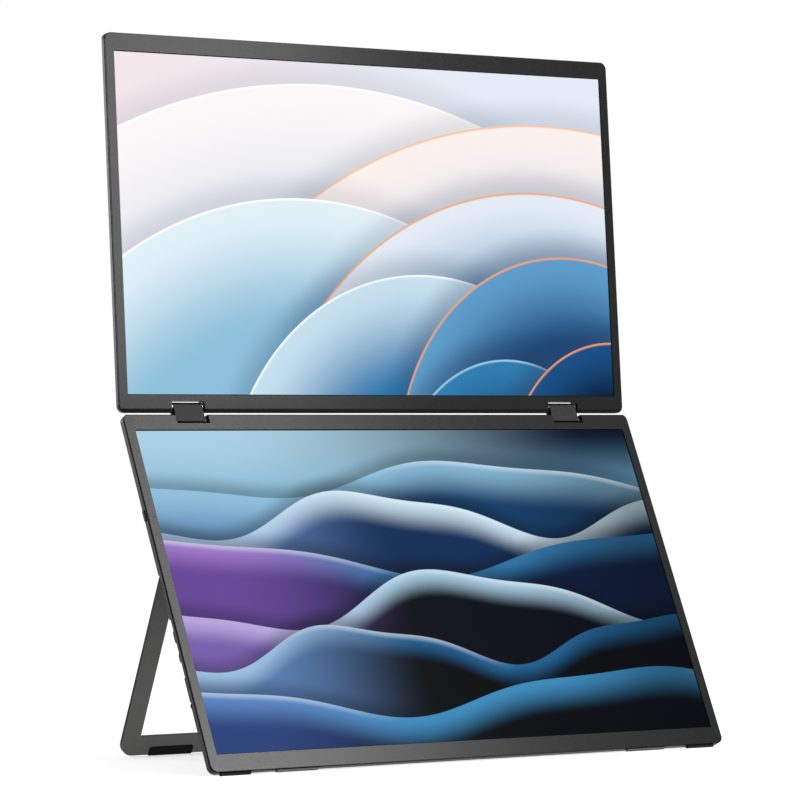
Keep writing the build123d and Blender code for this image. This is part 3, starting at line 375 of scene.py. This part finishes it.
def moulded_plastic(name, dark, light, roughness, grain_size, grain_height, reflection):
    """Moulded plastic: the mould's even grain, over slow faint changes of tone where it flowed."""
    material, tree, shader, spot = new_finish(name, {"IOR": 1.53, "Specular IOR Level": reflection})
    grain = add(tree, "TexNoise", {"Vector": spot, "Scale": 1 / (grain_size * MM), "Detail": 2.0})
    flow = add(tree, "TexNoise", {"Vector": spot, "Scale": 1 / (flow_length * MM), "Detail": 1.0})
    tone = add(tree, "Mix", {0: flow_share, 2: grain, 3: flow})
    colour_between(tree, shader, tone, dark, light)
    gloss = add(
        tree, "MapRange",
        {"Value": grain, "From Min": 0.3, "From Max": 0.7,
         "To Min": roughness - gloss_spread, "To Max": roughness + gloss_spread},
    )
    tree.links.new(gloss, shader.inputs["Roughness"])
    raised = add(tree, "Bump", {"Height": grain, "Distance": grain_height * MM})
    tree.links.new(raised, shader.inputs["Normal"])
    return material


# The sparks left pits of 0.1 mm, too fine to show, so the grain is drawn 1.2 mm across. It gives
# the covers a dull, slightly speckled sheen
cover_plastic = moulded_plastic(
    "ABS blend, spark-etched mould", "#131416", "#25262a",
    roughness=0.33, grain_size=1.2, grain_height=0.09, reflection=0.23,
)
dress(cover_plastic, "lower_rear_cover", "upper_rear_cover")


# Front bezels
# A thin moulded frame on each display, in the covers' plastic but from a polished mould. Its lip
# laps over the glass, a groove parts it from the rear cover, and along its hinge edge a matt black band is
# painted shade.

# The heights between which the satin of each frame turns into the matt black band of painted shade
shade_band_heights = {"lower": (253.9, 254.2), "upper": (2.9, 2.6)}
painted_shade_black = linear("#030303")
matt_roughness = (0.8, 0.8, 0.8, 1.0)


def polished_frame(display):
    """A satin gloss that fades softly across the frame as the light leaves it, up to a matt black band of
    painted shade.
    """
    # The polish leaves ripples of 0.1 mm, which are drawn 0.9 mm across so that they show
    material = moulded_plastic(
        "ABS blend, polished mould, " + display, "#131314", "#191a1b",
        roughness=0.22, grain_size=0.9, grain_height=0.006, reflection=0.12,
    )
    tree = material.node_tree
    shader = tree.nodes["Principled BSDF"]
    spot = add(tree, "TexCoord", out="Object")
    flat = add(tree, "Mapping", {"Vector": spot, **flat_inputs[display]}, vector_type="TEXTURE")
    split = add(tree, "SeparateXYZ", {"Vector": flat}).node
    clear, matt = shade_band_heights[display]
    band = add(
        tree, "MapRange", {"Value": split.outputs["Z"], "From Min": clear, "From Max": matt}, **soft
    )
    # The band's near black is painted shade along the hinge edge, and the band is also matt
    for socket, banded in (("Base Color", painted_shade_black), ("Roughness", matt_roughness)):
        made = shader.inputs[socket].links[0].from_socket
        value = add(tree, "Mix", {0: band, 6: made, 7: banded}, **layered)
        tree.links.new(value, shader.inputs[socket])
    return material


for display in both:
    dress(polished_frame(display), display + "_bezel")


# Two-axis hinges
# Two die-cast zinc links turn on ground steel shafts between spring washers. Stamped steel leaves
# inside the cases hold the shafts' ends. The links have grey faces, with shade painted black all round their
# edges.
def paint_edge_shade(tree, shader, spot, node, skin, shade_colour):
    """Paints shade on a plate all round its edges, but not on a skin some millimetres deep on its two broad
    sides.
    """
    mesh = nodes[node].data
    broad = max(mesh.polygons, key=lambda face: face.area).normal.copy()
    depths = [vert.co.dot(broad) for vert in mesh.vertices]
    middle = (min(depths) + max(depths)) / 2
    half = (max(depths) - min(depths)) / 2
    depth = add(tree, "VectorMath", {0: spot, 1: broad}, out="Value", operation="DOT_PRODUCT")
    offset = add(tree, "Math", {0: depth, 1: middle}, operation="SUBTRACT")
    away = add(tree, "Math", {0: offset}, operation="ABSOLUTE")
    side = add(tree, "Math", {0: away, 1: half - skin * MM}, operation="GREATER_THAN")
    made = shader.inputs["Base Color"].links[0].from_socket
    colour = add(tree, "Mix", {0: side, 6: linear(shade_colour), 7: made}, **layered)
    tree.links.new(colour, shader.inputs["Base Color"])


def painted_casting():
    """Baked paint on a zinc casting: satin, and slightly wavy over the casting's skin."""
    material, tree, shader, spot = new_finish("zinc casting, painted", {"Specular IOR Level": 0.06})
    waves = add(tree, "TexNoise", {"Vector": spot, "Scale": 1 / (1.2 * MM)})
    colour_between(tree, shader, waves, "#2e2e2f", "#353536")
    # Both links lie in one plane, so the left one's faces stand for both
    # Painted shade: the links' edges are darkened to near black all round
    paint_edge_shade(tree, shader, spot, "hinge_block_left", skin=0.2, shade_colour="#040404")
    gloss = add(tree, "MapRange", {"Value": waves, "To Min": 0.3, "To Max": 0.42})
    tree.links.new(gloss, shader.inputs["Roughness"])
    raised = add(tree, "Bump", {"Height": waves, "Distance": 0.008 * MM})
    tree.links.new(raised, shader.inputs["Normal"])
    return material


scratch_stretch = 0.15
scratch_gloss = 0.06


def worked_steel(name, dark, light, roughness):
    """Ground, turned or rolled metal: a dull shine, broken by scratches along X."""
    material, tree, shader, spot = new_finish(name, {"Metallic": 1.0})
    drawn = add(tree, "Mapping", {"Vector": spot, "Scale": (scratch_stretch, 1, 1)})
    # The scratches lie 0.02 mm apart, too fine to show, so they are drawn 0.5 mm apart
    scratches = add(tree, "TexNoise", {"Vector": drawn, "Scale": 1 / (0.5 * MM)})
    colour_between(tree, shader, scratches, dark, light)
    gloss = add(
        tree, "MapRange",
        {"Value": scratches, "From Min": 0.3, "From Max": 0.7,
         "To Min": roughness - scratch_gloss, "To Max": roughness + scratch_gloss},
    )
    tree.links.new(gloss, shader.inputs["Roughness"])
    return material


dress(painted_casting(), "hinge_block_left", "hinge_block_right")
# Ground shafts and washers are bare: a clear grey shine in a line along each shaft
ground_steel = worked_steel("steel, ground", "#7c7d7f", "#939496", roughness=0.28)
dress(ground_steel, "lower_hinge_pins", "upper_hinge_pins", "hinge_washers")
dress(ground_steel, "kickstand_pins", "menu_rocker_pin")
# The oxide leaves the rolled sheet nearly black, with a dull oily shine
black_steel = worked_steel("steel sheet, black oxide", "#232426", "#303133", roughness=0.4)
leaves = [f"{display}_hinge_leaf_{side}" for display in both for side in ("left", "right")]
dress(black_steel, *leaves, "kickstand_hinge_left", "kickstand_hinge_right")


# Sockets and jack
# Five shells of stamped steel, plated with nickel, sit on the port board behind the left wall, with
# moulded black inserts that carry the contacts. The jack has a collar turned from brass bar.
def nickel_plate(name, roughness):
    """Nickel plate over drawn metal: bright and a little warm, with faint drawing marks."""
    material, tree, shader, spot = new_finish(name, {"Metallic": 1.0})
    # The marks are 0.05 mm wide, too fine to show, so they are drawn at 0.7 mm
    marks = add(tree, "TexNoise", {"Vector": spot, "Scale": 1 / (0.7 * MM)})
    colour_between(tree, shader, marks, "#b5b3ae", "#cfcdc8")
    gloss = add(tree, "MapRange", {"Value": marks, "To Min": roughness - 0.04, "To Max": roughness + 0.06})
    tree.links.new(gloss, shader.inputs["Roughness"])
    return material


# Glass-filled nylon is matt black, with fibres that break up its shine. They are 0.01 mm thick,
# too fine to show, so the grain is drawn at 0.6 mm
black_nylon = moulded_plastic(
    "nylon, moulded", "#0d0d0e", "#131314",
    roughness=0.5, grain_size=0.6, grain_height=0.01, reflection=0.3,
)
dress(nickel_plate("steel, nickel plated", roughness=0.3), "usb_c_sockets", "mini_hdmi_sockets")
dress(nickel_plate("brass, turned and nickel plated", roughness=0.2), "audio_jack")
dress(black_nylon, "socket_inserts")


# Buttons and their switches
# The power button on the left edge and the menu rocker on the right are moulded in the covers'
# plastic. Each presses a small switch with a black nylon body.

# Fingers ask for a smooth mould, which makes the buttons a little shinier than the covers. Its
# grain of 0.05 mm is drawn at 0.5 mm so that it shows
button_plastic = moulded_plastic(
    "ABS blend, smooth mould", "#101011", "#151516",
    roughness=0.25, grain_size=0.5, grain_height=0.003, reflection=0.3,
)
dress(button_plastic, "power_button", "menu_rocker")
dress(black_nylon, "power_switch")


# Speakers, grilles and feet
# Two slim speakers in nylon boxes face down to slotted grilles, which are pressed into the lower
# edge. Two pads of moulded rubber, glued into shallow pockets, keep the display off the table.

# The grilles are a paler grey than the case, and duller. Their grain of 0.1 mm is drawn at 0.5 mm
grille_plastic = moulded_plastic(
    "ABS, moulded grilles", "#58595b", "#626365",
    roughness=0.45, grain_size=0.5, grain_height=0.01, reflection=0.3,
)
dress(black_nylon, "speaker_left", "speaker_right")
dress(grille_plastic, "speaker_grilles")
# Rubber soaks up light: near black, with hardly any shine. Its grain of 0.1 mm is drawn at 0.7 mm
rubber = moulded_plastic(
    "rubber, moulded", "#0a0a0b", "#131314",
    roughness=0.65, grain_size=0.7, grain_height=0.06, reflection=0.12,
)
dress(rubber, "lower_feet", "kickstand_pads")


# Kickstand
# A U cut from 3 mm aluminium sheet, blasted with fine beads and anodised dark grey. It turns on
# two pins at the top of its legs, and rubber shoes are clipped over its bar.
def anodised_aluminium():
    """Bead-blasted and anodised: an even, dull metallic grey without any direction, with shade painted dark
    on its cut edges.
    """
    material, tree, shader, spot = new_finish("aluminium, blasted and anodised", {"Metallic": 1.0})
    # The beads left pits of 0.05 mm, which are drawn at 0.5 mm so that they show
    pits = add(tree, "TexNoise", {"Vector": spot, "Scale": 1 / (0.5 * MM), "Detail": 1.0})
    colour_between(tree, shader, pits, "#5a5959", "#646362")
    # Painted shade: the frame's cut edges are darkened all round
    paint_edge_shade(tree, shader, spot, "kickstand_frame", skin=0.05, shade_colour="#1c1c1c")
    gloss = add(tree, "MapRange", {"Value": pits, "To Min": 0.36, "To Max": 0.5})
    tree.links.new(gloss, shader.inputs["Roughness"])
    dented = add(tree, "Bump", {"Height": pits, "Distance": 0.01 * MM})
    tree.links.new(dented, shader.inputs["Normal"])
    return material


dress(anodised_aluminium(), "kickstand_frame")


# Screws
# Machine screws of cold-headed steel, plated with black zinc, with a cross recess punched in each
# head. They hold the rear covers to the bezels and the kickstand's brackets to the lower cover.
recess_width = 0.45
recess_depth = 0.6
recess_span = 1.3
head_break = 0.25
facets_round = 32
merge_gap = 0.001
sharp_angle = math.radians(35)


def solid_spans(node, display):
    """The lowest and highest corner of each solid in a CAD node, in the flat display's frame."""
    shape = bmesh.new()
    shape.from_mesh(nodes[node].data)
    bmesh.ops.remove_doubles(shape, verts=shape.verts, dist=merge_gap * MM)
    bmesh.ops.transform(shape, matrix=places[display].inverted(), verts=shape.verts)
    left = set(shape.verts)
    spans = []
    for start in shape.verts:
        if start not in left:
            continue
        left.discard(start)
        reached = [start]
        for vert in reached:
            for other in [edge.other_vert(vert) for edge in vert.link_edges]:
                if other in left:
                    left.discard(other)
                    reached.append(other)
        spans.append([Vector([pick(v.co[i] for v in reached) for i in range(3)]) for pick in (min, max)])
    shape.free()
    return spans


def outer_ends(spans):
    """The middle of each solid's outer end."""
    return [Vector(((low.x + high.x) / 2, high.y, (low.z + high.z) / 2)) for low, high in spans]


def turned(profile):
    """A closed solid of revolution about Y, from points given as radius and depth."""
    shape = bmesh.new()
    points = [shape.verts.new((radius, depth, 0.0)) for radius, depth in profile]
    rails = [shape.edges.new(pair) for pair in zip(points, points[1:])]
    bmesh.ops.spin(
        shape, geom=points + rails, axis=(0, 1, 0), cent=(0, 0, 0), angle=2 * math.pi, steps=facets_round,
        use_merge=True,
    )
    bmesh.ops.remove_doubles(shape, verts=shape.verts, dist=merge_gap * MM)
    bmesh.ops.recalc_face_normals(shape, faces=shape.faces)
    mesh = bpy.data.meshes.new("turned")
    shape.to_mesh(mesh)
    shape.free()
    return mesh


def with_recess(mesh, radius):
    """The mesh with a cross cut into its end face, which lies at depth zero."""
    shape = bmesh.new()
    long, narrow = recess_span * radius, recess_width * MM
    for wide, tall in ((long, narrow), (narrow, long)):
        bar = bmesh.ops.create_cube(shape, size=1.0)["verts"]
        bmesh.ops.scale(shape, vec=(wide, 2 * recess_depth * MM, tall), verts=bar)
    cutter_mesh = bpy.data.meshes.new("cross")
    shape.to_mesh(cutter_mesh)
    shape.free()
    blank, cutter = [bpy.data.objects.new(data.name, data) for data in (mesh, cutter_mesh)]
    for holder in (blank, cutter):
        bpy.context.scene.collection.objects.link(holder)
    cut = blank.modifiers.new("cross", "BOOLEAN")
    cut.operation = "DIFFERENCE"
    cut.object = cutter
    cut.use_self = True
    graph = bpy.context.evaluated_depsgraph_get()
    result = bpy.data.meshes.new_from_object(blank.evaluated_get(graph))
    for holder in (blank, cutter):
        bpy.data.objects.remove(holder)
    return result


def copies(name, mesh, origins, display, material):
    """One piece made of copies of a mesh, at points of a flat display, with smooth round faces."""
    shape = bmesh.new()
    for origin in origins:
        known = set(shape.verts)
        shape.from_mesh(mesh)
        fresh = [vert for vert in shape.verts if vert not in known]
        bmesh.ops.translate(shape, vec=origin, verts=fresh)
    bmesh.ops.transform(shape, matrix=places[display], verts=shape.verts)
    for edge in shape.edges:
        edge.smooth = edge.calc_face_angle(0.0) < sharp_angle
    for face in shape.faces:
        face.smooth = True
    joined = bpy.data.meshes.new(name)
    shape.to_mesh(joined)
    shape.free()
    joined.materials.append(material)
    piece = bpy.data.objects.new(name, joined)
    bpy.context.scene.collection.objects.link(piece)
    return piece


# The zinc keeps the screws as dark as the covers, with a small glint round each head
black_zinc = worked_steel("steel, black zinc plated", "#1d1e20", "#2a2b2d", roughness=0.35)
for node, display, shank_radius, head_height in (
    ("lower_cover_screws", "lower", 1.0, 1.15),
    ("upper_cover_screws", "upper", 1.0, 1.15),
    ("kickstand_screws", "lower", 0.8, 0.9),
):
    spans = solid_spans(node, display)
    low, high = spans[0]
    head_radius = (high.x - low.x) / 2
    length = high.y - low.y
    profile = (
        (0.0, -length), (shank_radius * MM, -length), (shank_radius * MM, -head_height * MM),
        (head_radius, -head_height * MM), (head_radius, -head_break * MM),
        (head_radius - head_break * MM, 0.0), (0.0, 0.0),
    )
    screw = with_recess(turned(profile), head_radius)
    name = node.replace("_screws", "_cross_screws")
    piece = copies(name, screw, outer_ends(spans), display, black_zinc)
    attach(piece, display + "_display")
    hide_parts(node)


# Wall-mount inserts
# Four inserts turned from brass bar are pressed hot into the lower cover, in a square of 75 mm.
# Each has an M4 thread, whose crests show in its mouth.
thread_pitch = 0.7
thread_crest = 1.72
thread_root = 2.05
insert_chamfer = 0.35
spans = solid_spans("vesa_inserts", "lower")
low, high = spans[0]
outer = (high.x - low.x) / 2
length = high.y - low.y
profile = [
    ((thread_root + insert_chamfer) * MM, 0.0), (outer - insert_chamfer * MM, 0.0),
    (outer, -insert_chamfer * MM), (outer, -length),
]
thread_count = int(length / (thread_pitch * MM))
for index in range(thread_count):
    start = -length + index * thread_pitch * MM
    profile.append((thread_root * MM, start))
    profile.append((thread_crest * MM, start + thread_pitch * MM / 2))
profile.append((thread_root * MM, -length + thread_count * thread_pitch * MM))
profile.append(profile[0])
# The cut brass is left bare, so the inserts shine warm and yellow in the dark cover
turned_brass = worked_steel("brass, turned", "#a88643", "#c4a25b", roughness=0.3)
piece = copies("threaded_inserts", turned(profile), outer_ends(spans), "lower", turned_brass)
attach(piece, "lower_display")
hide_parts("vesa_inserts")


# Floor, lamps and camera
# A plain white floor under a white sky, which the camera, metal and glass see at full white. Two
# soft lamps in front shine off the left of the frames, and one behind shines off their left edge.
floor_half = 40.0
floor_glow = 0.62
floor_shade = (0.85, 0.85, 0.85, 1.0)
floor_bounce = (0.4, 0.4, 0.4, 1.0)
sky_level = 0.45


def seen_straight(tree):
    """One where the camera, a mirror or a clear piece looks, and nothing for soft light."""
    path = add(tree, "LightPath").node
    mirror = add(
        tree, "Math",
        {0: path.outputs["Is Camera Ray"], 1: path.outputs["Is Glossy Ray"]}, operation="MAXIMUM",
    )
    return add(tree, "Math", {0: mirror, 1: path.outputs["Is Transmission Ray"]}, operation="MAXIMUM")


shape = bmesh.new()
bmesh.ops.create_grid(shape, x_segments=1, y_segments=1, size=floor_half)
floor_mesh = bpy.data.meshes.new("floor")
shape.to_mesh(floor_mesh)
shape.free()
floor = bpy.data.objects.new("floor", floor_mesh)
bpy.context.scene.collection.objects.link(floor)
white_floor = bpy.data.materials.new("white floor")
white_floor.use_nodes = True
tree = white_floor.node_tree
tree.nodes.clear()
shade = add(tree, "BsdfDiffuse", {"Color": floor_shade})
glow = add(tree, "Emission", {"Strength": floor_glow})
bright = add(tree, "AddShader", {0: shade, 1: glow})
bounce = add(tree, "BsdfDiffuse", {"Color": floor_bounce})
surface = add(tree, "MixShader", {0: seen_straight(tree), 1: bounce, 2: bright})
add(tree, "OutputMaterial", {"Surface": surface})
floor_mesh.materials.append(white_floor)

sky = bpy.data.worlds.new("white sky")
sky.use_nodes = True
tree = sky.node_tree
tree.nodes.clear()
level = add(
    tree, "Math", {0: seen_straight(tree), 1: 1.0 - sky_level, 2: sky_level}, operation="MULTIPLY_ADD"
)
background = add(tree, "Background", {"Color": (1, 1, 1, 1), "Strength": level})
add(tree, "OutputWorld", {"Surface": background})
bpy.context.scene.world = sky


def soft_lamp(name, place, target, width, height, power, roll=0.0):
    """A rectangular lamp that faces a point, rolled about its axis."""
    lamp = bpy.data.lights.new(name, "AREA")
    lamp.shape = "RECTANGLE"
    lamp.size, lamp.size_y = width, height
    lamp.energy = power
    holder = bpy.data.objects.new(name, lamp)
    holder.location = place
    facing = (Vector(target) - Vector(place)).to_track_quat("-Z", "Y")
    holder.rotation_euler = (facing @ Quaternion((0, 0, 1), math.radians(roll))).to_euler()
    bpy.context.scene.collection.objects.link(holder)


soft_lamp("low front lamp", (0.464, -0.963, 0.62), (-0.1, 0.04, 0.36), 0.32, 0.46, power=6.0)
soft_lamp("high front lamp", (0.898, -1.212, 1.36), (-0.12, -0.02, 0.12), 0.42, 0.75, power=14.0, roll=-12)
soft_lamp("rear left lamp", (-0.83, 1.07, 0.52), (-0.21, 0.04, 0.36), 0.35, 0.55, power=4.2)

# From here the corners of both lit areas fall where the photograph has them
view = bpy.data.cameras.new("camera")
view.sensor_width = 36.0
view.lens = 185.35
camera = bpy.data.objects.new("camera", view)
camera.location = (-1.6313, -2.3150, 0.2312)
camera.rotation_euler = (math.radians(90.23), 0.0, math.radians(-35.08))
bpy.context.scene.collection.objects.link(camera)
bpy.context.scene.camera = camera
bpy.context.scene.view_settings.view_transform = "Standard"
